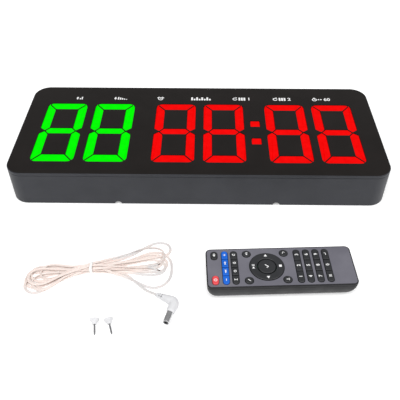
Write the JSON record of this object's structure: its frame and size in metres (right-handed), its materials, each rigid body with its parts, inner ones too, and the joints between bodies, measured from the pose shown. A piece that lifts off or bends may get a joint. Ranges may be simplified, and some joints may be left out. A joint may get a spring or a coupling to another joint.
{
  "type": "gym round timer",
  "caption": "Wall-mounted interval timer with a row of large lit digits, an infrared key remote, a tied power lead with an angled barrel plug, and wall nails.",
  "frame": {"origin": "centre of the display's flat back face, on the surface the whole set lies on", "axes": "+X along the display's long side, to the right as its face is read; +Y to its upper edge; +Z out of its face"},
  "size_m": [0.35, 0.2846, 0.0365],
  "materials": {
    "case_plastic": "fine satin grain, dark grey",
    "cover_plastic": "fine texture, black",
    "panel_plastic": "smooth satin black",
    "green_light": "lit diffuser, green",
    "red_light": "lit diffuser, red",
    "circuit_board": "green solder mask",
    "black_plastic": "satin black",
    "steel": "plated, bright",
    "remote_grey": "satin grey",
    "remote_black": "satin black",
    "key_black": "smooth silicone, black",
    "key_blue": "smooth silicone, blue",
    "key_red": "smooth silicone, red",
    "cell_wrap": "printed shrink wrap, plain",
    "clear_lead": "clear insulation over copper strands",
    "white_plastic": "moulded white"
  },
  "bodies": {
    "display": {"housing": "case_plastic", "rear_cover": "cover_plastic", "front_panel": "panel_plastic", "digit_module_1": "green_light", "digit_module_2": "green_light", "digit_module_3": "red_light", "digit_module_4": "red_light", "digit_module_5": "red_light", "digit_module_6": "red_light", "colon_module": "red_light", "main_board": "circuit_board", "buzzer": "black_plastic", "dc_jack": "black_plastic", "ir_receiver": "black_plastic", "cover_screw_1": "steel", "cover_screw_2": "steel", "cover_screw_3": "steel", "cover_screw_4": "steel"},
    "remote": {"remote_top_shell": "remote_grey", "remote_bottom_shell": "remote_black", "remote_board": "circuit_board", "ir_lamp": "black_plastic", "aaa_cell_1": "cell_wrap", "aaa_cell_2": "cell_wrap"},
    "battery_door": {"battery_door": "remote_black"},
    "power_lead": {"lead": "clear_lead", "lead_hank": "clear_lead", "hank_tie": "white_plastic", "plug_body": "white_plastic", "plug_barrel": "steel"},
    "wall_nail_1": {"wall_nail_1": "white_plastic"},
    "wall_nail_2": {"wall_nail_2": "white_plastic"},
    "key_power": {"key_power": "key_red"},
    "key_mute": {"key_mute": "key_black"},
    "key_minus": {"key_minus": "key_blue"},
    "key_fast_back": {"key_fast_back": "key_blue"},
    "key_fast_forward": {"key_fast_forward": "key_blue"},
    "key_plus": {"key_plus": "key_blue"},
    "key_timer": {"key_timer": "key_black"},
    "key_clock": {"key_clock": "key_black"},
    "key_stopwatch": {"key_stopwatch": "key_black"},
    "key_rounds": {"key_rounds": "key_black"},
    "key_edit": {"key_edit": "key_black"},
    "key_sound": {"key_sound": "key_black"},
    "key_save": {"key_save": "key_black"},
    "key_return": {"key_return": "key_black"},
    "key_ring": {"key_ring": "key_black"},
    "key_ok": {"key_ok": "key_black"},
    "key_1": {"key_1": "key_black"},
    "key_2": {"key_2": "key_black"},
    "key_3": {"key_3": "key_black"},
    "key_4": {"key_4": "key_black"},
    "key_5": {"key_5": "key_black"},
    "key_6": {"key_6": "key_black"},
    "key_7": {"key_7": "key_black"},
    "key_8": {"key_8": "key_black"},
    "key_9": {"key_9": "key_black"},
    "key_menu": {"key_menu": "key_black"},
    "key_0": {"key_0": "key_black"},
    "key_enter": {"key_enter": "key_black"}
  },
  "joints": [
    {"name": "remote_lift", "type": "slide", "parent": "display", "child": "remote", "axis": [0, 0, 1], "range_m": [0, 0.05]},
    {"name": "power_lead_lift", "type": "slide", "parent": "display", "child": "power_lead", "axis": [0, 0, 1], "range_m": [0, 0.05]},
    {"name": "wall_nail_1_lift", "type": "slide", "parent": "display", "child": "wall_nail_1", "axis": [0, 0, 1], "range_m": [0, 0.05]},
    {"name": "wall_nail_2_lift", "type": "slide", "parent": "display", "child": "wall_nail_2", "axis": [0, 0, 1], "range_m": [0, 0.05]},
    {"name": "battery_door_slide", "type": "slide", "parent": "remote", "child": "battery_door", "axis": [0.9989, 0.0466, 0], "range_m": [0, 0.012]},
    {"name": "key_power_press", "type": "slide", "parent": "remote", "child": "key_power", "axis": [0, 0, -1], "range_m": [0, 0.0007], "stiffness_N_per_m": 400},
    {"name": "key_mute_press", "type": "slide", "parent": "remote", "child": "key_mute", "axis": [0, 0, -1], "range_m": [0, 0.0007], "stiffness_N_per_m": 400},
    {"name": "key_minus_press", "type": "slide", "parent": "remote", "child": "key_minus", "axis": [0, 0, -1], "range_m": [0, 0.0007], "stiffness_N_per_m": 400},
    {"name": "key_fast_back_press", "type": "slide", "parent": "remote", "child": "key_fast_back", "axis": [0, 0, -1], "range_m": [0, 0.0007], "stiffness_N_per_m": 400},
    {"name": "key_fast_forward_press", "type": "slide", "parent": "remote", "child": "key_fast_forward", "axis": [0, 0, -1], "range_m": [0, 0.0007], "stiffness_N_per_m": 400},
    {"name": "key_plus_press", "type": "slide", "parent": "remote", "child": "key_plus", "axis": [0, 0, -1], "range_m": [0, 0.0007], "stiffness_N_per_m": 400},
    {"name": "key_timer_press", "type": "slide", "parent": "remote", "child": "key_timer", "axis": [0, 0, -1], "range_m": [0, 0.0007], "stiffness_N_per_m": 400},
    {"name": "key_clock_press", "type": "slide", "parent": "remote", "child": "key_clock", "axis": [0, 0, -1], "range_m": [0, 0.0007], "stiffness_N_per_m": 400},
    {"name": "key_stopwatch_press", "type": "slide", "parent": "remote", "child": "key_stopwatch", "axis": [0, 0, -1], "range_m": [0, 0.0007], "stiffness_N_per_m": 400},
    {"name": "key_rounds_press", "type": "slide", "parent": "remote", "child": "key_rounds", "axis": [0, 0, -1], "range_m": [0, 0.0007], "stiffness_N_per_m": 400},
    {"name": "key_edit_press", "type": "slide", "parent": "remote", "child": "key_edit", "axis": [0, 0, -1], "range_m": [0, 0.0007], "stiffness_N_per_m": 400},
    {"name": "key_sound_press", "type": "slide", "parent": "remote", "child": "key_sound", "axis": [0, 0, -1], "range_m": [0, 0.0007], "stiffness_N_per_m": 400},
    {"name": "key_save_press", "type": "slide", "parent": "remote", "child": "key_save", "axis": [0, 0, -1], "range_m": [0, 0.0007], "stiffness_N_per_m": 400},
    {"name": "key_return_press", "type": "slide", "parent": "remote", "child": "key_return", "axis": [0, 0, -1], "range_m": [0, 0.0007], "stiffness_N_per_m": 400},
    {"name": "key_ring_press", "type": "slide", "parent": "remote", "child": "key_ring", "axis": [0, 0, -1], "range_m": [0, 0.0007], "stiffness_N_per_m": 400},
    {"name": "key_ok_press", "type": "slide", "parent": "remote", "child": "key_ok", "axis": [0, 0, -1], "range_m": [0, 0.0007], "stiffness_N_per_m": 400},
    {"name": "key_1_press", "type": "slide", "parent": "remote", "child": "key_1", "axis": [0, 0, -1], "range_m": [0, 0.0007], "stiffness_N_per_m": 400},
    {"name": "key_2_press", "type": "slide", "parent": "remote", "child": "key_2", "axis": [0, 0, -1], "range_m": [0, 0.0007], "stiffness_N_per_m": 400},
    {"name": "key_3_press", "type": "slide", "parent": "remote", "child": "key_3", "axis": [0, 0, -1], "range_m": [0, 0.0007], "stiffness_N_per_m": 400},
    {"name": "key_4_press", "type": "slide", "parent": "remote", "child": "key_4", "axis": [0, 0, -1], "range_m": [0, 0.0007], "stiffness_N_per_m": 400},
    {"name": "key_5_press", "type": "slide", "parent": "remote", "child": "key_5", "axis": [0, 0, -1], "range_m": [0, 0.0007], "stiffness_N_per_m": 400},
    {"name": "key_6_press", "type": "slide", "parent": "remote", "child": "key_6", "axis": [0, 0, -1], "range_m": [0, 0.0007], "stiffness_N_per_m": 400},
    {"name": "key_7_press", "type": "slide", "parent": "remote", "child": "key_7", "axis": [0, 0, -1], "range_m": [0, 0.0007], "stiffness_N_per_m": 400},
    {"name": "key_8_press", "type": "slide", "parent": "remote", "child": "key_8", "axis": [0, 0, -1], "range_m": [0, 0.0007], "stiffness_N_per_m": 400},
    {"name": "key_9_press", "type": "slide", "parent": "remote", "child": "key_9", "axis": [0, 0, -1], "range_m": [0, 0.0007], "stiffness_N_per_m": 400},
    {"name": "key_menu_press", "type": "slide", "parent": "remote", "child": "key_menu", "axis": [0, 0, -1], "range_m": [0, 0.0007], "stiffness_N_per_m": 400},
    {"name": "key_0_press", "type": "slide", "parent": "remote", "child": "key_0", "axis": [0, 0, -1], "range_m": [0, 0.0007], "stiffness_N_per_m": 400},
    {"name": "key_enter_press", "type": "slide", "parent": "remote", "child": "key_enter", "axis": [0, 0, -1], "range_m": [0, 0.0007], "stiffness_N_per_m": 400}
  ]
}
